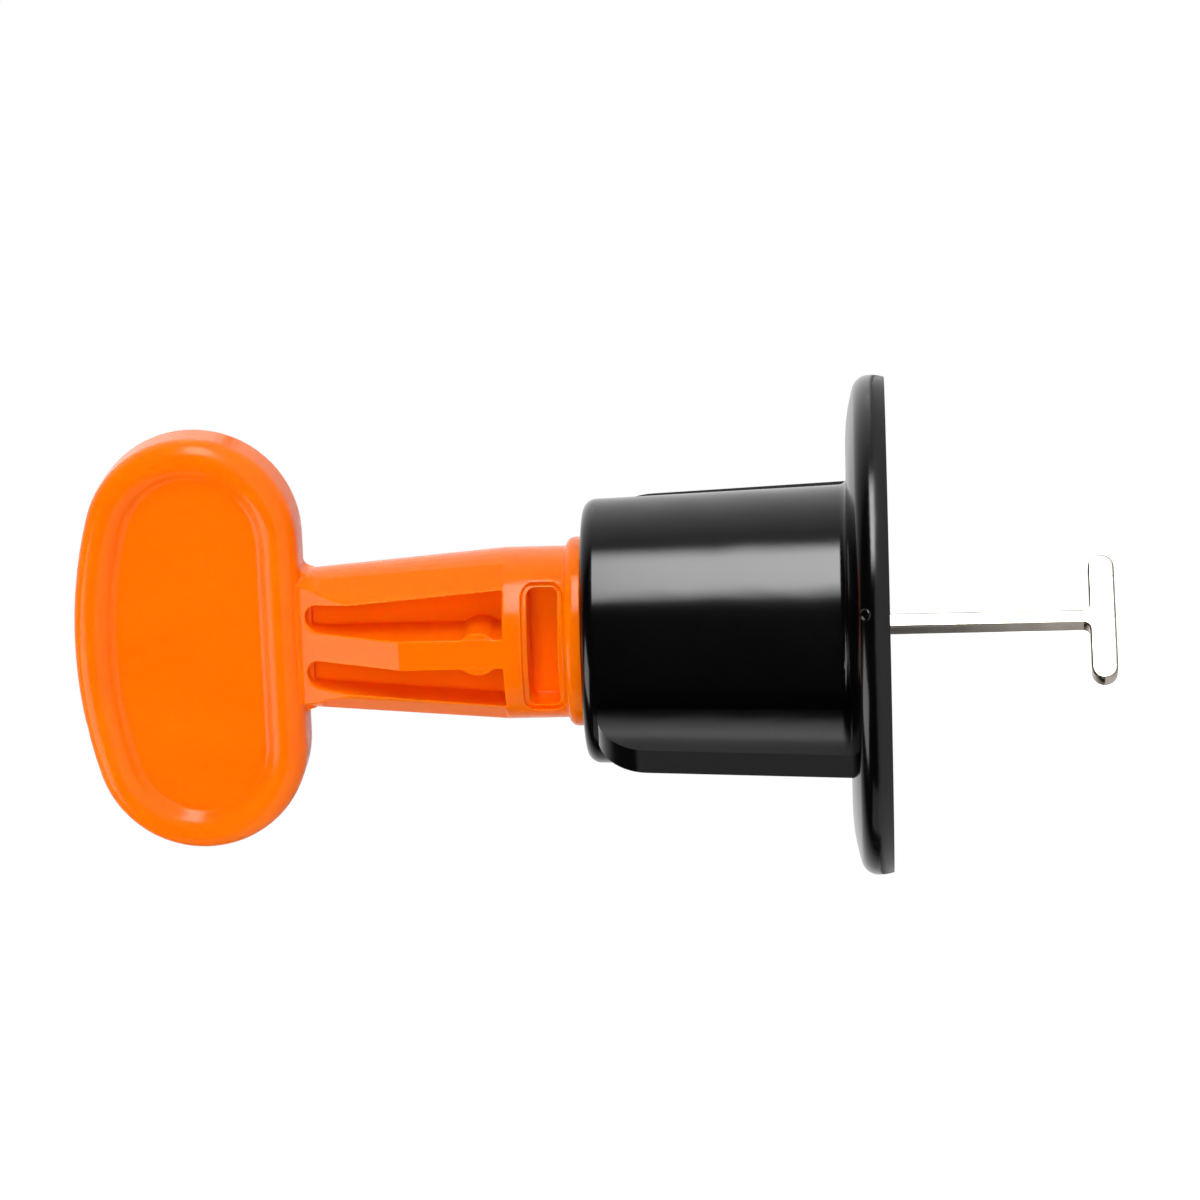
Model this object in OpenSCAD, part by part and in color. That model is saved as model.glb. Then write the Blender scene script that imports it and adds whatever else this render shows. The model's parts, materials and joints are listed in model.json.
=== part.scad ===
// Reusable tile levelling clip: a screw handle that draws a steel needle up through a flanged cap.
// Lengths in millimetres, +Z up. The origin is the middle of the face that presses on the tiles.

/* [Cap] */
// Diameter of the flange that presses on the tiles
flange_d = 40; // [32:0.5:48]
// Thickness of the flange
flange_t = 3.2; // [2.6:0.1:5]
// Rounding of the flange's rim above its widest point
flange_round = 1.4; // [0.8:0.1:1.8]
// Rounding of the flange's rim below its widest point
flange_belly = 4; // [2:0.5:8]
// Distance between the middles of the flange's rim rounding and its flatter crown
flange_setback = 15; // [10:0.25:18]
// Height of the cap's top face above the tiles
cap_h = 24.3; // [20:0.1:30]
// Outer diameter of the cap at its top
cap_top_d = 21.2; // [19:0.1:24]
// Outer diameter of the cap where it meets the flange
cap_base_d = 22.6; // [20:0.1:26]
// Rounding of the cap's top edge
cap_round = 1.1; // [0.4:0.1:1.6]
// Fillet between the cap and its flange
cap_fillet = 0.6; // [0.2:0.1:1.2]
// Wall of the cap's outer shell
shell_wall = 1.7; // [1.2:0.1:2.2]
// Wall of the threaded sleeve inside the cap
sleeve_wall = 1.6; // [1.2:0.1:2]
// Thickness of the cap's roof over the moulding core
roof_t = 2.6; // [1.6:0.1:4]
// Number of ribs that tie the sleeve to the shell
core_ribs = 4; // [2:1:8]
// Thickness of those ribs
core_rib_t = 1.2; // [0.8:0.1:2]

/* [Wings] */
// Distance from the axis to a wing's outer edge at the tiles
wing_reach = 16.7; // [15:0.1:19]
// Distance from the axis to the same edge, drawn on to the wing's top
wing_top_reach = 15.2; // [13.5:0.1:18]
// Thickness of a wing
wing_t = 2.4; // [2:0.1:4]
// Rounding of a wing's upper corner
wing_round = 4.2; // [1:0.1:4.5]
// Drop from the cap's top face to the wings' top
wing_drop = 1.2; // [0.6:0.1:6]
// Turn of the wings from the plane of the grip
wing_angle = 63; // [0:1:180]

/* [Grip] */
// Radius of the grip's two lobes
lobe_r = 8.6; // [7:0.1:10]
// Distance from a lobe's middle to the middle of the crowned far side
crown_setback = 29.75; // [24:0.25:36]
// Thickness of the grip at its rim
rim_t = 6.4; // [5:0.1:8]
// Rounding of the rim
rim_round = 1.6; // [1.2:0.1:1.9]
// Depth of the grip's faces below the rim
recess = 1; // [0.8:0.05:1.4]

/* [Stem] */
// Length of the stem from the cap's top to the grip
stem_len = 22.7; // [18:0.1:28]
// Diameter of the stem above its collar
stem_d = 13.8; // [12:0.1:16]
// Width of the stem where it meets the grip
neck_d = 11.1; // [9:0.1:12]
// Thickness of the stem where it meets the grip
neck_t = 5.2; // [4:0.1:6]
// Fillet between the stem's sides and the grip
neck_fillet = 0.8; // [0.3:0.1:1.5]
// Height of the collar that stops on the cap
collar_h = 1.35; // [1:0.05:2.5]
// Diameter of the collar
collar_d = 15.2; // [14:0.1:18]
// Rounding of the collar's upper edge
collar_round = 0.7; // [0.3:0.05:0.9]
// Height of the round part of the stem above the collar
drum_h = 4.9; // [4:0.1:7]
// Width of the middle rib
rib_w = 2.4; // [1.6:0.1:3.2]
// Distance of the rib's front from the axis
rib_front = 6.75; // [6:0.05:7.5]
// Height above the cap at which the stem's faces start to slope to the grip
slope_rise = 14.5; // [11:0.1:17]
// Thickness of the web that the grooves leave in the middle
web_t = 1.2; // [0.8:0.1:2]
// Distance from the axis to a groove's outer wall at the drum
groove_wide = 4.75; // [3.8:0.05:5.2]
// Distance from the axis to a groove's outer wall at the grip
groove_narrow = 3.4; // [2.6:0.05:3.8]
// Wall left between a groove's round end and the grip
groove_end_wall = 0.4; // [0.2:0.1:1.5]
// Depth of the flat on the stem's four flanks
flank_depth = 0.14; // [0.05:0.01:0.3]
// Direction of a flank from the plane of the grip
flank_angle = 34; // [28:1:40]
// Diameter of the round pad on the rib
pad_d = 3.5; // [2.6:0.1:4]
// Step from the rib's front down to the pad
pad_step = 0.1; // [0.05:0.05:0.3]
// Height of the pad's middle above the drum
pad_rise = 2; // [1.5:0.1:4]

/* [Window] */
// Width of the window across the drum
window_w = 9.6; // [7:0.1:10]
// Height of the window
window_h = 2.4; // [1.6:0.1:2.6]
// Height of the window's lower edge above the collar
window_rise = 0.55; // [0.5:0.05:1]
// Rounding of the window's corners
window_round = 0.6; // [0.3:0.05:0.7]
// Width of the sunk border around the window
window_border = 0.45; // [0.2:0.05:0.5]
// Depth of that border below the drum's surface
border_depth = 0.35; // [0.1:0.05:0.6]
// Thickness of the wall between the two windows
window_web = 2; // [1.2:0.1:4]

/* [Screw] */
// Diameter over the screw of the handle
screw_d = 10.8; // [9:0.1:11.6]
// Distance of the screw's lower end from the tiles
screw_end = 1.5; // [0.5:0.1:4]
// Lead-in bevel at both ends of the screw and its bore
lead_in = 0.8; // [0.3:0.1:1.2]
// Radial play between the screw and the bore of the cap
screw_play = 0.3; // [0.2:0.05:0.5]
// Gap under the collar where it stops on the cap
stop_gap = 0.05; // [0.02:0.01:0.2]

/* [Needle] */
// Thickness of the steel
steel_t = 1.5; // [1:0.1:2]
// Width of the needle's shank
shank_w = 1.2; // [1:0.1:1.6]
// Clear depth between the flange and the foot
clamp_depth = 16; // [12:0.1:22]
// Length of the foot that catches under the tiles
foot_len = 11; // [9:0.1:14]
// Height of the foot
foot_h = 2.1; // [1.5:0.1:3]
// Fillet between the shank and its foot
needle_fillet = 0.5; // [0.2:0.05:0.7]
// Length of the head that hangs in the handle
head_len = 6.4; // [5:0.1:7]
// Height of the head
head_h = 2; // [1.4:0.1:3]
// Height of the seat that carries the head
seat_rise = 16.5; // [13:0.1:18]
// Play around the head and the shank in the handle
needle_play = 0.3; // [0.15:0.05:0.4]
// Gap under the head on its seat
seat_gap = 0.05; // [0.02:0.01:0.2]
// Turn of the needle from the plane of the grip
needle_angle = 41; // [0:1:180]

/* [Hidden] */
$fn = 96;
// Reach of a cutter beyond the surface that it cuts
cut = 1;
// Overlap that lets a fillet cross the face it runs out on
sink = 0.02;

// Direction of the line on which two arcs of an outline meet, from the 7-24-25 triangle.
seam = [0.28, 0.96];

bore_d = screw_d + 2 * screw_play;
sleeve_r = bore_d / 2 + sleeve_wall;
core_top = cap_h - roof_t;
wing_top = cap_h - wing_drop;
wing_lean = atan((wing_reach - wing_top_reach) / wing_top);

collar_z = cap_h + stop_gap;
drum_z = collar_z + collar_h;
shoulder_z = drum_z + drum_h;
slope_z = cap_h + slope_rise;
grip_z = cap_h + stem_len;
root_z = grip_z + rim_round;
taper = atan((stem_d - neck_d) / 2 / (grip_z - shoulder_z));
slope_rate = (rib_front - neck_t / 2) / (grip_z - slope_z);
side_reach = stem_d / 2 + cut;

lobe_x = crown_setback * seam.x;
crown_drop = crown_setback * seam.y;
crown_r = lobe_r + crown_setback;
seam_reach = 2 * crown_r;

// The rim's flank leans as in the 3-4-5 triangle, and the recess sets the fillet at its foot.
rim_lean = [-0.8, 0.6];
rim_fillet = recess / (1 - rim_lean.y) - rim_round;
face_t = rim_t - 2 * recess;

groove_end_r = (groove_narrow - rib_w / 2) / 2;
groove_top = grip_z - groove_end_wall - groove_end_r;
window_z = drum_z + window_rise;

shank_swing_d = sqrt(shank_w * shank_w + steel_t * steel_t) + 2 * needle_play;
head_swing_d = sqrt(head_len * head_len + steel_t * steel_t) + 2 * needle_play;
foot_top = -clamp_depth;
head_z = seat_rise + seat_gap;

// A bar with round ends, lying along X on the X axis.
module round_bar(length, height) {
    translate([0, height / 2]) {
        square([length - height, height], center = true);
        for (side = [-1, 1])
            translate([side * (length - height) / 2, 0])
                circle(d = height);
    }
}

// A rectangle with round corners, centred on the origin.
module round_rect(width, height, radius) {
    square([width, height - 2 * radius], center = true);
    square([width - 2 * radius, height], center = true);
    for (x = [-1, 1], y = [-1, 1])
        translate([x * (width / 2 - radius), y * (height / 2 - radius)])
            circle(r = radius);
}

// The curved web that fills the corner between a floor and a wall at the origin.
module corner_fillet(radius) {
    difference() {
        square(radius);
        translate([radius, radius])
            circle(r = radius);
    }
}

// Half section of the flange: flat inside, then a long crown that runs into the rounded rim. Below
// its widest point the rim draws in a little to the tiles.
module flange_profile() {
    crown_r = flange_round + flange_setback;
    rim = [flange_d / 2 - flange_round, flange_t - crown_r + seam.y * flange_setback];
    crown_x = rim.x - seam.x * flange_setback;
    seam_foot = rim.x - rim.y * seam.x / seam.y;
    seam_top = rim + 2 * flange_t * seam;
    square([crown_x, flange_t]);
    intersection() {
        translate(rim)
            circle(r = flange_round);
        square([flange_d / 2, flange_t]);
    }
    intersection() {
        translate([flange_d / 2 - flange_belly, rim.y])
            circle(r = flange_belly);
        square([flange_d / 2, rim.y]);
    }
    intersection() {
        translate([crown_x, flange_t - crown_r])
            circle(r = crown_r);
        polygon([[crown_x, 0], [seam_foot, 0], seam_top, [crown_x, seam_top.y]]);
    }
}

// Half section of the cap's outside: flange, drafted body and their roundings.
module cap_profile() {
    top_r = cap_top_d / 2;
    flange_profile();
    polygon([
        [0, 0],
        [cap_base_d / 2, 0],
        [cap_base_d / 2, flange_t],
        [top_r, cap_h - cap_round],
        [top_r - cap_round, cap_h],
        [0, cap_h],
    ]);
    translate([top_r - cap_round, cap_h - cap_round])
        circle(r = cap_round);
    translate([cap_base_d / 2 - tan(draft_angle()) * cap_fillet, flange_t])
        corner_fillet(cap_fillet);
}

function draft_angle() = atan((cap_base_d - cap_top_d) / 2 / (cap_h - flange_t));

// Points on an arc around a middle, from one angle to another.
function arc(middle, radius, from, to, steps) =
    [for (i = [0 : steps])
        let (angle = from + (to - from) * i / steps)
            middle + radius * [cos(angle), sin(angle)]];

// Half outline of the wings: the outer edge leans in and runs round the upper corner.
module wing_outline() {
    corner_z = wing_top - wing_round;
    corner_x = wing_reach - (wing_round + corner_z * sin(wing_lean)) / cos(wing_lean);
    corner_steps = 16;
    polygon([
        [0, 0],
        [wing_reach, 0],
        each arc([corner_x, corner_z], wing_round, wing_lean, 90, corner_steps),
        [0, wing_top],
    ]);
}

// Two plates on opposite sides of the cap.
module wings() {
    for (turn = [0, 180])
        rotate([90, 0, wing_angle + turn])
            linear_extrude(wing_t, center = true)
                wing_outline();
}

// The ring-shaped hollow between sleeve and shell, open to the tiles and crossed by ribs.
module cap_core() {
    difference() {
        rotate_extrude()
            polygon([
                [sleeve_r, -cut],
                [cap_base_d / 2 - shell_wall, -cut],
                [cap_base_d / 2 - shell_wall, flange_t],
                [cap_top_d / 2 - shell_wall, core_top],
                [sleeve_r, core_top],
            ]);
        for (i = [0 : core_ribs - 1])
            rotate(wing_angle + i * 360 / core_ribs)
                translate([0, -core_rib_t / 2, -2 * cut])
                    cube([cap_base_d, core_rib_t, cap_h + 2 * cut]);
    }
}

// The bore for the handle's screw, with a lead-in at both mouths.
module cap_bore() {
    mouth_d = bore_d + 2 * lead_in;
    translate([0, 0, -cut])
        cylinder(d = bore_d, h = cap_h + 2 * cut);
    cylinder(d1 = mouth_d, d2 = bore_d, h = lead_in);
    translate([0, 0, cap_h - lead_in])
        cylinder(d1 = bore_d, d2 = mouth_d, h = lead_in);
}

module cap() {
    color([0.05, 0.05, 0.055])
        difference() {
            union() {
                rotate_extrude()
                    cap_profile();
                wings();
            }
            cap_core();
            cap_bore();
        }
}

// Section of the grip's rim, with its outer edge towards +X and the path of its crest at the origin.
// On the inner side the rounding leans down into a fillet that runs out on the recessed face.
module rim_section() {
    crest = [0, rim_t / 2 - rim_round];
    foot = crest + (rim_round + rim_fillet) * rim_lean;
    square([2 * rim_round, rim_t - 2 * rim_round], center = true);
    for (face = [0, 1])
        mirror([0, face]) {
            translate(crest)
                circle(r = rim_round);
            difference() {
                polygon([
                    crest,
                    crest + rim_round * rim_lean,
                    foot,
                    [foot.x, crest.y],
                ]);
                translate(foot)
                    circle(r = rim_fillet);
            }
        }
}

// A full ring of the rim with the given outer radius.
module rim_ring(radius) {
    rotate_extrude()
        translate([radius - rim_round, 0])
            rim_section();
}

// The rim along both lobes, the crown and the straight side next to the stem.
module grip_rim() {
    seam_end = seam_reach * seam;
    for (side = [0, 1])
        mirror([side, 0, 0])
            translate([lobe_x, lobe_r, 0])
                intersection() {
                    rim_ring(lobe_r);
                    linear_extrude(2 * rim_t, center = true)
                        polygon([
                            [0, 0],
                            seam_end,
                            [seam_reach, seam_end.y],
                            [seam_reach, -seam_reach],
                            [0, -seam_reach],
                        ]);
                }
    translate([0, lobe_r - crown_drop, 0])
        intersection() {
            rim_ring(crown_r);
            linear_extrude(2 * rim_t, center = true)
                polygon([[0, 0], seam_end, [-seam_end.x, seam_end.y]]);
        }
    translate([-lobe_x, rim_round, 0])
        rotate([90, 0, 90])
            linear_extrude(2 * lobe_x)
                mirror([1, 0])
                    rim_section();
}

// Outline of the recessed face, reaching to the rim's crest.
module face_outline() {
    inset = rim_round;
    for (side = [-1, 1])
        translate([side * lobe_x, lobe_r])
            circle(r = lobe_r - inset);
    translate([-lobe_x, inset])
        square([2 * lobe_x, lobe_r - inset]);
    intersection() {
        translate([0, lobe_r - crown_drop])
            circle(r = crown_r - inset);
        polygon([
            [-lobe_x, lobe_r],
            [lobe_x, lobe_r],
            [2 * lobe_x, lobe_r + crown_drop],
            [-2 * lobe_x, lobe_r + crown_drop],
        ]);
    }
}

module grip() {
    translate([0, 0, grip_z])
        rotate([90, 0, 0]) {
            grip_rim();
            linear_extrude(face_t + 2 * sink, center = true)
                face_outline();
        }
}

// Side view of the stem's envelope: straight from the drum, then sloping in to the grip.
module side_envelope() {
    slope_foot = slope_z - (side_reach - rib_front) / slope_rate;
    translate([-side_reach, 0, 0])
        rotate([90, 0, 90])
            linear_extrude(2 * side_reach)
                polygon([
                    [-side_reach, collar_z],
                    [side_reach, collar_z],
                    [side_reach, slope_foot],
                    [neck_t / 2, grip_z],
                    [neck_t / 2, root_z],
                    [-neck_t / 2, root_z],
                    [-neck_t / 2, grip_z],
                    [-side_reach, slope_foot],
                ]);
}

// Outline of one groove beside the middle rib, with a round end at the grip.
module groove_outline() {
    polygon([
        [rib_w / 2, shoulder_z],
        [groove_wide, shoulder_z],
        [groove_narrow, groove_top],
        [rib_w / 2, groove_top],
    ]);
    translate([rib_w / 2 + groove_end_r, groove_top])
        circle(r = groove_end_r);
}

// The four grooves, two on each face, down to the middle web.
module grooves() {
    for (face = [0, 1], side = [0, 1])
        mirror([0, face, 0])
            mirror([side, 0, 0])
                translate([0, -web_t / 2, 0])
                    rotate([90, 0, 0])
                        linear_extrude(side_reach)
                            groove_outline();
}

// Shallow flats along the tapered flanks, from the drum to the grip's end band.
module flank_cuts() {
    for (turn = [flank_angle, 180 - flank_angle, 180 + flank_angle, 360 - flank_angle])
        rotate(turn)
            translate([stem_d / 2 - flank_depth, 0, shoulder_z])
                rotate([0, -taper, 0])
                    translate([0, -side_reach / 2, 0])
                        cube([side_reach, side_reach, groove_top - shoulder_z]);
}

// The two blind windows in the drum, each with a sunk border that follows the drum's surface.
module windows() {
    for (face = [0, 1])
        mirror([0, face, 0]) {
            translate([0, -window_web / 2, window_z + window_h / 2])
                rotate([90, 0, 0])
                    linear_extrude(side_reach)
                        round_rect(window_w, window_h, window_round);
            difference() {
                translate([0, 0, window_z + window_h / 2])
                    rotate([90, 0, 0])
                        linear_extrude(side_reach)
                            round_rect(
                                window_w + 2 * window_border,
                                window_h + 2 * window_border,
                                window_round + window_border
                            );
                translate([0, 0, drum_z - cut])
                    cylinder(d = stem_d - 2 * border_depth, h = drum_h + 2 * cut);
            }
        }
}

// The rib along the middle of both faces, with its round pads near the drum.
module stem_rib() {
    pad_front = rib_front - pad_step;
    translate([-rib_w / 2, -rib_front, drum_z])
        cube([rib_w, 2 * rib_front, root_z - drum_z]);
    translate([0, pad_front, shoulder_z + pad_rise])
        rotate([90, 0, 0])
            cylinder(d = pad_d, h = 2 * pad_front);
}

// The round, tapered stem with its collar.
module stem_body() {
    neck_r = stem_d / 2 - tan(taper) * (root_z - shoulder_z);
    rotate_extrude()
        polygon([
            [0, collar_z],
            [stem_d / 2, collar_z],
            [stem_d / 2, shoulder_z],
            [neck_r, root_z],
            [0, root_z],
        ]);
}

module collar() {
    translate([0, 0, collar_z])
        rotate_extrude() {
            square([collar_d / 2 - collar_round, collar_h]);
            square([collar_d / 2, collar_h - collar_round]);
            translate([collar_d / 2 - collar_round, collar_h - collar_round])
                circle(r = collar_round);
        }
}

// The fillets that carry the stem's sides over into the grip, as thick as the rim's flat edge.
module neck_fillets() {
    rotate([90, 0, 0])
        linear_extrude(rim_t - 2 * rim_round - 2 * sink, center = true)
            for (side = [0, 1])
                mirror([side, 0])
                    difference() {
                        translate([0, grip_z - neck_fillet])
                            square([neck_d / 2 + neck_fillet, neck_fillet + rim_round]);
                        translate([neck_d / 2 + neck_fillet, grip_z - neck_fillet + sink])
                            circle(r = neck_fillet);
                    }
}

module stem() {
    intersection() {
        union() {
            difference() {
                stem_body();
                grooves();
                flank_cuts();
                windows();
            }
            difference() {
                stem_rib();
                windows();
            }
        }
        side_envelope();
    }
    collar();
}

// The plain core of the handle's screw below the collar.
module screw() {
    translate([0, 0, screw_end]) {
        cylinder(d1 = screw_d - 2 * lead_in, d2 = screw_d, h = lead_in);
        translate([0, 0, lead_in])
            cylinder(d = screw_d, h = collar_z - screw_end - lead_in);
    }
}

// Way in for the needle: its head goes up the slot, turns in the chamber and hangs on the seat.
module needle_seat() {
    slot_w = steel_t + 2 * needle_play;
    translate([0, 0, screw_end - cut])
        cylinder(d = shank_swing_d, h = seat_rise - screw_end + 2 * cut);
    translate([-slot_w / 2, -head_swing_d / 2, screw_end - cut])
        cube([slot_w, head_swing_d, seat_rise - screw_end + 2 * cut]);
    translate([-head_swing_d / 2, -screw_d / 2 - cut, seat_rise])
        cube([head_swing_d, screw_d + 2 * cut, head_h + 2 * needle_play]);
}

module handle() {
    color([0.98, 0.43, 0.03])
        difference() {
            union() {
                grip();
                stem();
                neck_fillets();
                screw();
            }
            needle_seat();
        }
}

// Outline of the needle, stamped from flat steel: foot, shank and head.
module needle_outline() {
    translate([0, foot_top - foot_h])
        round_bar(foot_len, foot_h);
    translate([-shank_w / 2, foot_top - foot_h / 2])
        square([shank_w, head_z + head_h / 2 - foot_top + foot_h / 2]);
    translate([0, head_z])
        round_bar(head_len, head_h);
    for (side = [0, 1])
        mirror([side, 0])
            translate([shank_w / 2, foot_top])
                corner_fillet(needle_fillet);
}

module needle() {
    color([0.76, 0.75, 0.73])
        rotate([90, 0, needle_angle])
            linear_extrude(steel_t, center = true)
                needle_outline();
}

cap();
handle();
needle();
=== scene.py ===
"""Looks of the tile levelling clip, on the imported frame. Lengths are in metres, and +Z is up."""
import json
import math

import bmesh
import bpy
from mathutils import Matrix, Vector
from mathutils.bvhtree import BVHTree

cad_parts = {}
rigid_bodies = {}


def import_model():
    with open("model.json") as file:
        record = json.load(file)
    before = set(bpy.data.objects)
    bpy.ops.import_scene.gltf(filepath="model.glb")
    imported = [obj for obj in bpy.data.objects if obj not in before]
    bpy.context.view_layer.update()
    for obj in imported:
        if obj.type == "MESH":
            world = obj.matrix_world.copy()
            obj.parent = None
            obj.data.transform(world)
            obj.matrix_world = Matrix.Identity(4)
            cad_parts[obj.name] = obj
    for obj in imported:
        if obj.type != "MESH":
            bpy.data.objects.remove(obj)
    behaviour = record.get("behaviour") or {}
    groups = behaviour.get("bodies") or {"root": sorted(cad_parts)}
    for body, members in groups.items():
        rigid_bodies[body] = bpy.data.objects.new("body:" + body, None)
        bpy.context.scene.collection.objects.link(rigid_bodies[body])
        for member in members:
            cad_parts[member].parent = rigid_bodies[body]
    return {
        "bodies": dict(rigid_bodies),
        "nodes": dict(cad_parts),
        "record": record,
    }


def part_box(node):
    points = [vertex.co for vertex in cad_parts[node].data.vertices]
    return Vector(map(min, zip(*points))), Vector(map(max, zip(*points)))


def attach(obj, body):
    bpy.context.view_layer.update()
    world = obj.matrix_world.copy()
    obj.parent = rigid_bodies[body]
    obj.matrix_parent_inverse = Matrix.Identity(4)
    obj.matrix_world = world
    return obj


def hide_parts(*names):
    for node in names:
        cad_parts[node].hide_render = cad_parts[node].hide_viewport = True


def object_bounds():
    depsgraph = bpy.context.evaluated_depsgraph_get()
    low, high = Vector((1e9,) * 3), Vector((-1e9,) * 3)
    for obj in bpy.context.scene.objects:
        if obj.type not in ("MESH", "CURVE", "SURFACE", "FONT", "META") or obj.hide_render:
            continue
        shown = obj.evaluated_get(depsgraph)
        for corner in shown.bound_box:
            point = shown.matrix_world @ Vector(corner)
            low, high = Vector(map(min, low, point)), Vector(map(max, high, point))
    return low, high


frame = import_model()
cad_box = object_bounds()

MM = 0.001

# The photograph's view: the clip lies on its side, with the grip at the left.
IMAGE_SIZE = 1200
FOCAL_PIXELS = 5000
SENSOR_WIDTH = 36.0
VIEW_AZIMUTH = math.radians(14.5)
VIEW_ELEVATION = math.radians(-3.0)
VIEW_ROLL = math.radians(1.25)
VIEW_DISTANCE = 401.6 * MM
AIM_HEIGHT = 23.18 * MM
AIM_SIDE = 2.45 * MM
VIEW_NEAR = 10 * MM
VIEW_FAR = 20.0

# The shader that a new material starts with.
MAIN_SHADER = "Principled BSDF"

# Most values of a noise lie between these two, so colour and roughness range over them.
NOISE_LOW = 0.3
NOISE_HIGH = 0.7

# Points of a solid that lie closer together than this are one point.
WELD = 0.001 * MM

# The handle's skin: a fine skin softens all its edges, and is thinned out again on the flats.
SKIN_VOXEL = 0.07 * MM
SKIN_SMOOTHING = 10
SKIN_SMOOTH_SHARE = 0.5
SKIN_TRIANGLES = 190000

# Screw thread of the handle, and the thread of the cap that runs in it with play all round.
THREAD_STEPS = 64
GROOVE_DEPTH = 0.85 * MM
GROOVE_MOUTH = 2.0 * MM
GROOVE_ROOT = 1.1 * MM
GROOVE_TOP_LAND = 1.2 * MM
RUN_OUT_TURNS = 0.4
RIDGE_HEIGHT = 0.8 * MM
RIDGE_FOOT = 1.25 * MM
RIDGE_CREST = 0.6 * MM
RIDGE_LOW_LAND = 1.6 * MM
RIDGE_TOP_LAND = 3.8 * MM
THREAD_OVERLAP = 0.4 * MM

# The button that the moulding gate left on the flange's rim.
GATE_AZIMUTH = math.radians(-73)
GATE_LEVEL = 1.9 * MM
GATE_RADIUS = 0.5 * MM
GATE_HEIGHT = 0.2 * MM
GATE_SEGMENTS = 24
GATE_RINGS = 12

# Stamped steel: faces that meet at less than FLAT_ANGLE are one face, and an outer edge
# of more than EDGE_ANGLE is rounded.
FLAT_ANGLE = math.radians(1)
EDGE_ANGLE = math.radians(40)
STEEL_EDGE = 0.16 * MM
EDGE_STEPS = 4
ROUND_PROFILE = 0.5

# Shading runs smoothly over an edge of less than this angle, on all pieces.
SMOOTH_ANGLE = math.radians(32)

# Studio room: how far the white backdrop reaches round, as the cosine from its middle.
WHITE = (1, 1, 1, 1)
ROOM_TILT = 0.58
ROOM_DARK_AT = 0.12
ROOM_WHITE_AT = 0.94
ROOM_DARK = 0.012

# Studio floor: it lies below the needle's foot, and glows more the farther it is from the origin, so
# its lower glow near the clip is a painted shade round the clip, on top of its real shadow.
FLOOR_DROP = 14 * MM
FLOOR_SIZE = 6.0
FLOOR_GREY = (0.5, 0.5, 0.5, 1)
FLOOR_NEAR = 0.04
FLOOR_FAR = 0.19
FLOOR_NEAR_GLOW = 0.6
FLOOR_FAR_GLOW = 1.0

# Key strip above the camera: its parts lie one behind the other, each a share of the whole.
# Directions of lamps are shares of the camera's right, up and back.
STRIP_TOWARDS = (0, 1.1, 1)
STRIP_SHARES = (0.62, 0.81, 1.0)
STRIP_DISTANCE = 0.5
STRIP_STEP = 0.005
STRIP_WIDTH = 0.45
STRIP_LENGTH = 0.26
STRIP_RADIANCE = 9.6

# Fill lamps light the matt share of a surface only, and gloss doesn't show them.
FILL_DISTANCE = 0.8
FILL_SIZE = 0.45
LOW_FILL_SIZE = 1.0


def clear_startup_objects():
    """Removes whatever the scene held before the frame came in."""
    kept = set(frame["nodes"].values()) | set(frame["bodies"].values())
    for obj in list(bpy.data.objects):
        if obj not in kept:
            bpy.data.objects.remove(obj)


def add_object(name, data):
    """A new object in the scene."""
    obj = bpy.data.objects.new(name, data)
    bpy.context.scene.collection.objects.link(obj)
    return obj


# Camera


def view_axes():
    """Right, up and back of the camera: image right runs down the clip's axis."""
    back = Vector((
        math.sin(VIEW_AZIMUTH) * math.cos(VIEW_ELEVATION),
        -math.cos(VIEW_AZIMUTH) * math.cos(VIEW_ELEVATION),
        math.sin(VIEW_ELEVATION),
    ))
    down = Vector((0, 0, -1))
    level_right = (down - down.dot(back) * back).normalized()
    level_up = back.cross(level_right)
    right = math.cos(VIEW_ROLL) * level_right - math.sin(VIEW_ROLL) * level_up
    up = math.sin(VIEW_ROLL) * level_right + math.cos(VIEW_ROLL) * level_up
    return right, up, back


def placed(position, right, up, back):
    """The matrix of a camera or lamp that looks against back."""
    turn = Matrix((right, up, back)).transposed().to_4x4()
    return Matrix.Translation(position) @ turn


def add_camera():
    right, up, back = view_axes()
    aim = Vector((0, 0, AIM_HEIGHT)) + AIM_SIDE * up
    camera = bpy.data.cameras.new("camera")
    camera.sensor_width = SENSOR_WIDTH
    camera.lens = SENSOR_WIDTH * FOCAL_PIXELS / IMAGE_SIZE
    camera.clip_start = VIEW_NEAR
    camera.clip_end = VIEW_FAR
    obj = add_object("camera", camera)
    obj.matrix_world = placed(aim + VIEW_DISTANCE * back, right, up, back)
    bpy.context.scene.camera = obj


# Shader nodes


def set_sockets(tree, node, values=None, links=None):
    """Sets a node's sockets: some to plain values, some to what other nodes give."""
    for socket, value in (values or {}).items():
        node.inputs[socket].default_value = value
    for socket, source in (links or {}).items():
        tree.links.new(source, node.inputs[socket])


def add_node(tree, kind, values=None, links=None):
    """A new shader node with its sockets set."""
    node = tree.nodes.new("ShaderNode" + kind)
    set_sockets(tree, node, values, links)
    return node


def object_noise(tree, scale, detail=3.0, stretch=(1, 1, 1)):
    """Noise over the object's own coordinates; scale is in features per metre."""
    coords = add_node(tree, "TexCoord")
    mapping = add_node(tree, "Mapping", {"Scale": stretch}, {"Vector": coords.outputs["Object"]})
    noise = add_node(
        tree, "TexNoise", {"Scale": scale, "Detail": detail}, {"Vector": mapping.outputs["Vector"]},
    )
    return noise.outputs["Fac"]


def ramp(tree, noise, low, high):
    """A smooth ramp between two colours, over the middle of a noise."""
    node = add_node(tree, "ValToRGB", links={"Fac": noise})
    ends = ((NOISE_LOW, low), (NOISE_HIGH, high))
    for element, (position, colour) in zip(node.color_ramp.elements, ends):
        element.position = position
        element.color = (*colour, 1)
    return node.outputs["Color"]


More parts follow.
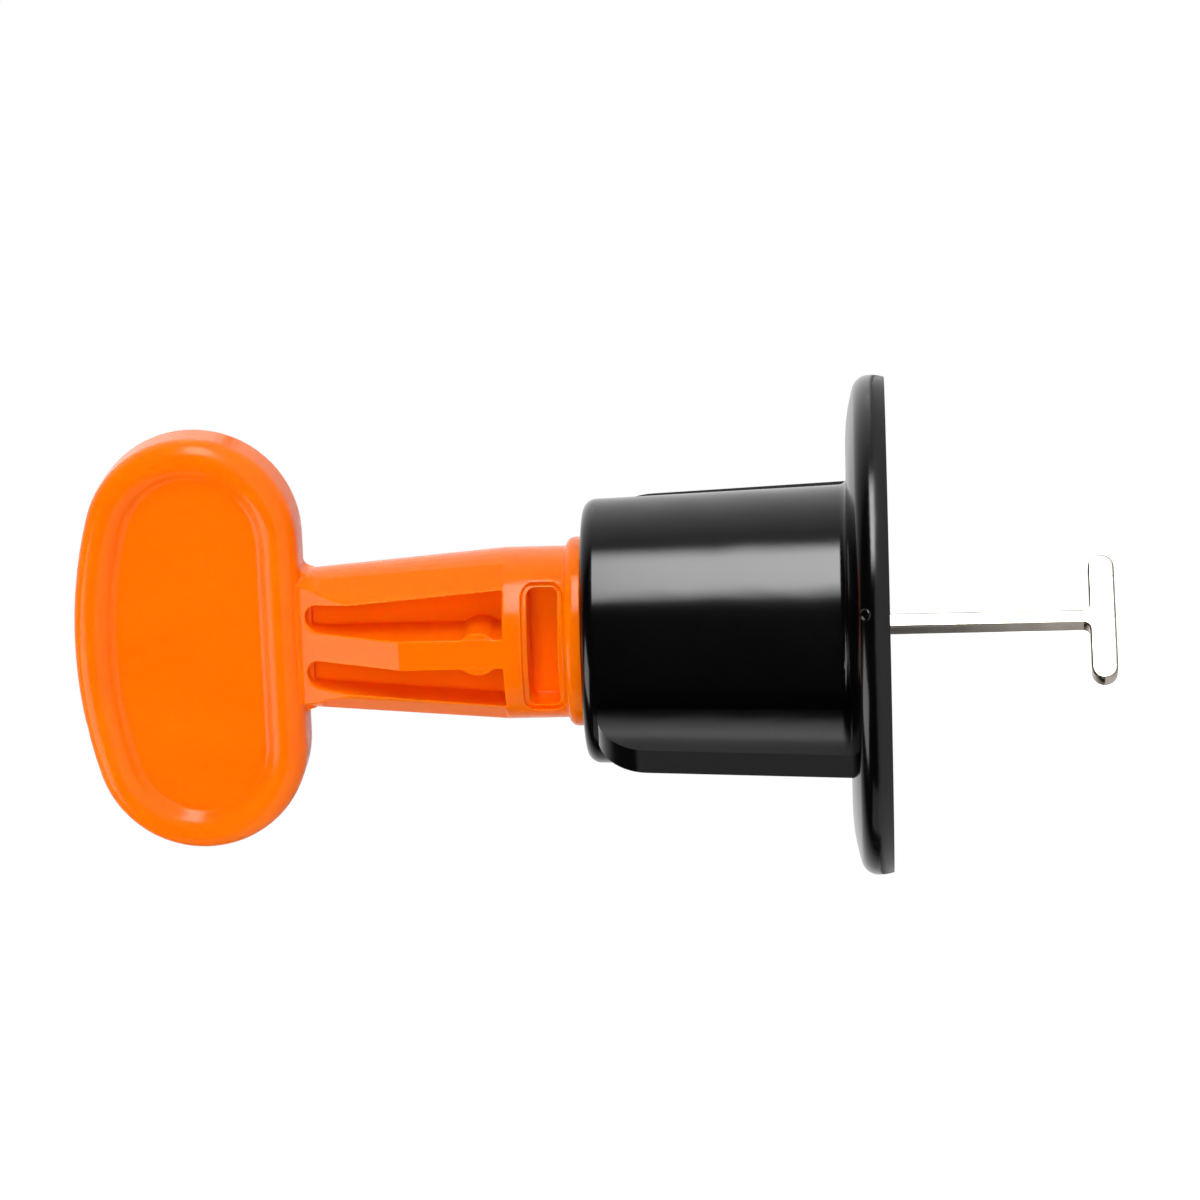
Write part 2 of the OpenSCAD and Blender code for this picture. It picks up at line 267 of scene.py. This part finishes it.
def map_range(tree, value, from_low, from_high, to_low, to_high):
    """Maps one range of values to another, and holds its ends."""
    limits = {"From Min": from_low, "From Max": from_high, "To Min": to_low, "To Max": to_high}
    return add_node(tree, "MapRange", limits, {"Value": value}).outputs["Result"]


def spread(tree, noise, low, high):
    """Maps the middle of a noise to a range of values."""
    return map_range(tree, noise, NOISE_LOW, NOISE_HIGH, low, high)


def bump(tree, height, depth, strength, below=None):
    """Normals of a fine relief, on top of the relief below it."""
    links = {"Height": height}
    if below is not None:
        links["Normal"] = below
    node = add_node(tree, "Bump", {"Strength": strength, "Distance": depth}, links)
    return node.outputs["Normal"]


def mix_shaders(tree, share, first, second):
    """The second shader where share is 1, and the first where it is 0."""
    return add_node(tree, "MixShader", links={"Fac": share, 1: first, 2: second}).outputs["Shader"]


def for_camera_rays(tree, shader, others):
    """One shader for what the camera sees directly, and another for all other rays."""
    path = add_node(tree, "LightPath")
    return mix_shaders(tree, path.outputs["Is Camera Ray"], others, shader)


# Materials


def new_material(name):
    """A new material and its node tree."""
    material = bpy.data.materials.new(name)
    material.use_nodes = True
    return material, material.node_tree


def orange_plastic():
    """Glossy, slightly translucent moulding with faint flow marks."""
    material, tree = new_material("orange_plastic_moulded")
    flow = object_noise(tree, scale=140, detail=4, stretch=(1, 1, 0.35))
    grain = object_noise(tree, scale=2600, detail=2)
    soft = bump(tree, flow, depth=0.05 * MM, strength=0.35)
    values = {
        "Subsurface Weight": 0.5,
        "Subsurface Radius": (1.0, 0.5, 0.08),
        "Subsurface Scale": 2.5 * MM,
        "Specular IOR Level": 0.3,
        "IOR": 1.46,
    }
    links = {
        "Base Color": ramp(tree, flow, low=(0.94, 0.150, 0.0), high=(1.0, 0.175, 0.001)),
        "Roughness": spread(tree, flow, low=0.15, high=0.21),
        "Normal": bump(tree, grain, depth=0.01 * MM, strength=0.25, below=soft),
    }
    set_sockets(tree, tree.nodes[MAIN_SHADER], values, links)
    return material


def black_plastic():
    """Polished black moulding with faint swirls and handling scratches."""
    material, tree = new_material("black_plastic_moulded")
    darkest, lightest = (0.0007, 0.0007, 0.0009), (0.0013, 0.0013, 0.0016)
    swirl = object_noise(tree, scale=90, detail=4, stretch=(1, 1, 0.5))
    scratch = object_noise(tree, scale=900, detail=3, stretch=(1, 1, 0.06))
    soft = bump(tree, swirl, depth=0.03 * MM, strength=0.2)
    values = {"IOR": 1.55}
    links = {
        "Base Color": ramp(tree, swirl, low=darkest, high=lightest),
        "Roughness": spread(tree, swirl, low=0.14, high=0.19),
        "Normal": bump(tree, scratch, depth=0.003 * MM, strength=0.15, below=soft),
    }
    set_sockets(tree, tree.nodes[MAIN_SHADER], values, links)
    return material


def bright_steel():
    """Bright nickelled steel with fine draw lines along the shank."""
    material, tree = new_material("bright_steel_nickelled")
    lines = object_noise(tree, scale=5200, detail=3, stretch=(1, 1, 0.03))
    cloud = object_noise(tree, scale=420, detail=3)
    values = {"Metallic": 1.0}
    links = {
        "Base Color": ramp(tree, cloud, low=(0.62, 0.55, 0.47), high=(0.76, 0.69, 0.60)),
        "Roughness": spread(tree, lines, low=0.1, high=0.18),
        "Normal": bump(tree, lines, depth=0.002 * MM, strength=0.2),
    }
    set_sockets(tree, tree.nodes[MAIN_SHADER], values, links)
    return material


# Solids


def welded_solid(node):
    """The CAD node's mesh as one closed body."""
    solid = bmesh.new()
    solid.from_mesh(frame["nodes"][node].data)
    bmesh.ops.remove_doubles(solid, verts=solid.verts, dist=WELD)
    return solid


def mesh_of(solid, name):
    mesh = bpy.data.meshes.new(name)
    solid.to_mesh(mesh)
    solid.free()
    return mesh


def applied(mesh, add_modifiers):
    """The mesh with the modifiers that add_modifiers puts on it."""
    work = add_object("work", mesh)
    add_modifiers(work)
    evaluated = work.evaluated_get(bpy.context.evaluated_depsgraph_get())
    result = bpy.data.meshes.new_from_object(evaluated)
    bpy.data.objects.remove(work)
    return result


def combined(mesh, other_solid, operation):
    """The mesh after a boolean operation with another solid."""
    other = add_object("other", mesh_of(other_solid, "other"))

    def combine(work):
        boolean = work.modifiers.new("combine", "BOOLEAN")
        boolean.operation = operation
        boolean.solver = "EXACT"
        boolean.object = other

    result = applied(mesh, combine)
    bpy.data.objects.remove(other)
    return result


def skinned(mesh):
    """Gives a moulding soft edges and fillets."""
    def skin_over(work):
        remesh = work.modifiers.new("skin", "REMESH")
        remesh.mode = "VOXEL"
        remesh.voxel_size = SKIN_VOXEL
        soft = work.modifiers.new("soft", "SMOOTH")
        soft.factor = SKIN_SMOOTH_SHARE
        soft.iterations = SKIN_SMOOTHING

    def thin_out(work):
        thin = work.modifiers.new("thin", "DECIMATE")
        thin.ratio = min(1.0, SKIN_TRIANGLES / (2 * len(work.data.polygons)))

    fine = applied(mesh, skin_over)
    return applied(fine, thin_out)


def stamped(mesh):
    """Rounds the edges of a stamping."""
    solid = bmesh.new()
    solid.from_mesh(mesh)
    bmesh.ops.dissolve_limit(solid, angle_limit=FLAT_ANGLE, verts=solid.verts, edges=solid.edges)
    sharp = [e for e in solid.edges if e.calc_face_angle() > EDGE_ANGLE and e.is_convex]
    bmesh.ops.bevel(
        solid, geom=sharp, offset=STEEL_EDGE, offset_type="OFFSET", segments=EDGE_STEPS,
        profile=ROUND_PROFILE, affect="EDGES", clamp_overlap=False, loop_slide=True,
    )
    return mesh_of(solid, mesh.name)


# Thread


def thread_pitch():
    """Rise of the screw in one turn, from the coupling of lift and turn."""
    return frame["record"]["behaviour"]["couplings"][0]["ratio"] * 2 * math.pi


def screw_radius():
    """Radius of the handle's screw: its widest point below the cap's top."""
    cap_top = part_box("cap")[1].z
    points = [v.co for v in frame["nodes"]["handle"].data.vertices if v.co.z < cap_top]
    return max(math.hypot(p.x, p.y) for p in points)


def bore_radius():
    """Radius of the cap's bore: its narrowest point."""
    return min(math.hypot(v.co.x, v.co.y) for v in frame["nodes"]["cap"].data.vertices)


def helix(low, high, section_at):
    """A closed right-hand helical bar from one height to another, passing the angle 0 at height 0.
    section_at gives its section's corners at a height, as (radius, rise above the bar's middle)."""
    solid = bmesh.new()
    pitch = thread_pitch()
    count = math.ceil((high - low) / pitch * THREAD_STEPS)
    rings = []
    for i in range(count + 1):
        height = low + (high - low) * i / count
        turn = 2 * math.pi * height / pitch
        rings.append([
            solid.verts.new((radius * math.cos(turn), radius * math.sin(turn), height + rise))
            for radius, rise in section_at(height)
        ])
    for ring, following in zip(rings, rings[1:]):
        for a in range(len(ring)):
            b = (a + 1) % len(ring)
            solid.faces.new((ring[a], ring[b], following[b], following[a]))
    solid.faces.new(rings[0][::-1])
    solid.faces.new(rings[-1])
    bmesh.ops.recalc_face_normals(solid, faces=solid.faces)
    return solid


def trapezoid(inner, inner_width, outer, outer_width):
    """Corners of a thread's section between two radii."""
    return [
        (outer, -outer_width / 2), (outer, outer_width / 2),
        (inner, inner_width / 2), (inner, -inner_width / 2),
    ]


def screw_groove():
    """The groove of the handle's screw: it enters at the tip and runs out below the collar."""
    radius = screw_radius()
    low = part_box("handle")[0].z - thread_pitch()
    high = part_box("cap")[1].z - GROOVE_TOP_LAND - GROOVE_MOUTH / 2
    run_out = RUN_OUT_TURNS * thread_pitch()

    def section_at(height):
        share = min(1.0, (high - height) / run_out)
        root = radius - GROOVE_DEPTH * share
        return trapezoid(root, GROOVE_ROOT, radius + THREAD_OVERLAP, GROOVE_MOUTH)

    return helix(low, high, section_at)


def bore_ridge():
    """The ridge of the cap's sleeve that runs in the screw's groove, where the groove is deep."""
    radius = bore_radius()
    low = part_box("cap")[0].z + RIDGE_LOW_LAND
    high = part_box("cap")[1].z - RIDGE_TOP_LAND

    def section_at(height):
        return trapezoid(radius - RIDGE_HEIGHT, RIDGE_CREST, radius + THREAD_OVERLAP, RIDGE_FOOT)

    return helix(low, high, section_at)


# Pieces


def add_piece(name, node, material, mesh):
    """Puts a finished mesh in the node's place, on the node's own body."""
    # The normals that came with the frame don't fit a mesh that was cut or joined.
    if "custom_normal" in mesh.attributes:
        mesh.attributes.remove(mesh.attributes["custom_normal"])
    mesh.shade_smooth()
    mesh.set_sharp_from_angle(angle=SMOOTH_ANGLE)
    mesh.materials.clear()
    mesh.materials.append(material)
    obj = add_object(name, mesh)
    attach(obj, node)
    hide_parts(node)
    even = obj.modifiers.new("even", "WEIGHTED_NORMAL")
    even.keep_sharp = True


def gate_button(solid):
    """A low round button on the flange's rim."""
    outward = Vector((math.cos(GATE_AZIMUTH), math.sin(GATE_AZIMUTH), 0))
    start = 2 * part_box("cap")[1].x * outward + Vector((0, 0, GATE_LEVEL))
    place, normal = BVHTree.FromBMesh(solid).ray_cast(start, -outward)[:2]
    lie = Matrix.Translation(place) @ normal.to_track_quat("Z", "Y").to_matrix().to_4x4()
    flat = Matrix.Diagonal((1, 1, GATE_HEIGHT / GATE_RADIUS, 1))
    button = bmesh.new()
    bmesh.ops.create_uvsphere(
        button, u_segments=GATE_SEGMENTS, v_segments=GATE_RINGS, radius=GATE_RADIUS,
        matrix=lie @ flat,
    )
    return button


def add_cap():
    """The cap keeps the edges of its solid, and gains the gate's button and the thread."""
    solid = welded_solid("cap")
    button = gate_button(solid)
    mesh = combined(mesh_of(solid, "cap_moulding"), button, "UNION")
    mesh = combined(mesh, bore_ridge(), "UNION")
    add_piece("cap_moulding", "cap", black_plastic(), mesh)


def add_handle():
    """The handle gets its thread, and then soft edges all over."""
    mesh = mesh_of(welded_solid("handle"), "handle_moulding")
    mesh = skinned(combined(mesh, screw_groove(), "DIFFERENCE"))
    add_piece("handle_moulding", "handle", orange_plastic(), mesh)


def add_needle():
    """The needle gets the rounded edges of a stamping."""
    mesh = stamped(mesh_of(welded_solid("needle"), "needle_stamping"))
    add_piece("needle_stamping", "needle", bright_steel(), mesh)


# Studio


def studio_world():
    """White to the camera.
    Other rays see a white backdrop behind the clip and a dark room before it."""
    world = bpy.data.worlds.new("studio")
    bpy.context.scene.world = world
    world.use_nodes = True
    tree = world.node_tree
    tree.nodes.clear()
    up, back = view_axes()[1:]
    middle = (ROOM_TILT * up - back).normalized()
    coords = add_node(tree, "TexCoord")
    lean = add_node(tree, "VectorMath", {1: middle}, {0: coords.outputs["Generated"]})
    lean.operation = "DOT_PRODUCT"
    shade = map_range(tree, lean.outputs["Value"], ROOM_DARK_AT, ROOM_WHITE_AT, ROOM_DARK, 1.0)
    room = add_node(tree, "Background", {"Color": WHITE}, {"Strength": shade})
    white = add_node(tree, "Background", {"Color": WHITE, "Strength": 1.0})
    seen = for_camera_rays(tree, white.outputs["Background"], others=room.outputs["Background"])
    add_node(tree, "OutputWorld", links={"Surface": seen})


def floor_material():
    """Pale floor that reads as white to the camera and still takes the shadow.
    From below it is clear."""
    material, tree = new_material("studio_floor")
    tree.nodes.clear()
    matt = add_node(tree, "BsdfDiffuse", {"Color": FLOOR_GREY})
    coords = add_node(tree, "TexCoord")
    away = add_node(tree, "VectorMath", links={0: coords.outputs["Object"]})
    away.operation = "LENGTH"
    # The glow is weakest near the origin, which paints a pale shade round the clip; the real shadow
    # comes from the matt part.
    fade = map_range(
        tree, away.outputs["Value"], FLOOR_NEAR, FLOOR_FAR, FLOOR_NEAR_GLOW, FLOOR_FAR_GLOW,
    )
    glow = add_node(tree, "Emission", links={"Strength": fade})
    dark = add_node(tree, "Emission", {"Strength": 0.0})
    lift = for_camera_rays(tree, glow.outputs["Emission"], others=dark.outputs["Emission"])
    both = add_node(tree, "AddShader", links={0: matt.outputs["BSDF"], 1: lift})
    geometry = add_node(tree, "NewGeometry")
    clear = add_node(tree, "BsdfTransparent")
    one_sided = mix_shaders(
        tree, geometry.outputs["Backfacing"], both.outputs["Shader"], clear.outputs["BSDF"],
    )
    add_node(tree, "OutputMaterial", links={"Surface": one_sided})
    return material


def add_floor():
    mesh = bpy.data.meshes.new("floor")
    half = FLOOR_SIZE / 2
    level = cad_box[0][2] - FLOOR_DROP
    square = ((-half, -half), (half, -half), (half, half), (-half, half))
    mesh.from_pydata([(x, y, level) for x, y in square], [], [(0, 1, 2, 3)])
    mesh.materials.append(floor_material())
    obj = add_object("floor", mesh)


def add_softbox(name, towards, distance, width, length, radiance, seen_in_gloss=True):
    """A rectangular lamp that looks at the middle of the clip, with its length along the clip's axis.
    towards is its direction from the clip, as shares of the camera's right, up and back."""
    lamp = bpy.data.lights.new(name, "AREA")
    lamp.shape = "RECTANGLE"
    lamp.size = width
    lamp.size_y = length
    lamp.energy = radiance * math.pi * width * length
    # Without this a lamp that is hidden from gloss still leaves a grey veil on it.
    lamp.cycles.use_multiple_importance_sampling = seen_in_gloss
    obj = add_object(name, lamp)
    shares = [share * axis for share, axis in zip(towards, view_axes())]
    direction = sum(shares, Vector()).normalized()
    side = Vector((0, 0, 1)).cross(direction).normalized()
    position = Vector((0, 0, AIM_HEIGHT)) + distance * direction
    obj.matrix_world = placed(position, side, direction.cross(side), direction)
    obj.visible_glossy = seen_in_gloss


def add_key_strip():
    """A bright strip that fades at its edges, where its larger parts reach past the smaller ones."""
    radiance = STRIP_RADIANCE / len(STRIP_SHARES)
    for i, share in enumerate(STRIP_SHARES):
        distance = STRIP_DISTANCE + i * STRIP_STEP
        width = share * STRIP_WIDTH
        length = share * STRIP_LENGTH
        add_softbox("key_strip", STRIP_TOWARDS, distance, width, length, radiance)


def add_fill(name, towards, radiance, size=FILL_SIZE):
    """A square lamp that gloss doesn't show."""
    add_softbox(name, towards, FILL_DISTANCE, size, size, radiance, seen_in_gloss=False)


def add_lights():
    """The key strip, a box at the grip's end, a low glow for the undersides, and plain fill."""
    add_key_strip()
    add_softbox("left_box", (-0.85, -0.45, 0.2), distance=0.6, width=0.36, length=0.36, radiance=2.4)
    add_fill("front_fill", (0, -0.1, 1), radiance=8.8)
    add_fill("back_fill", (0, 0.3, -1), radiance=6.0)
    add_fill("top_fill", (0, 1, -0.2), radiance=4.0)
    add_fill("left_fill", (-1, 0, -0.15), radiance=5.0)
    add_softbox("low_glow", (0, -1, -0.09), distance=0.8, width=0.43, length=0.6, radiance=0.35)
    add_fill("low_fill", (0, -1, 0.2), radiance=1.6, size=LOW_FILL_SIZE)


clear_startup_objects()
add_camera()
add_cap()
add_handle()
add_needle()
studio_world()
add_floor()
add_lights()
bpy.context.scene.view_settings.view_transform = "Standard"
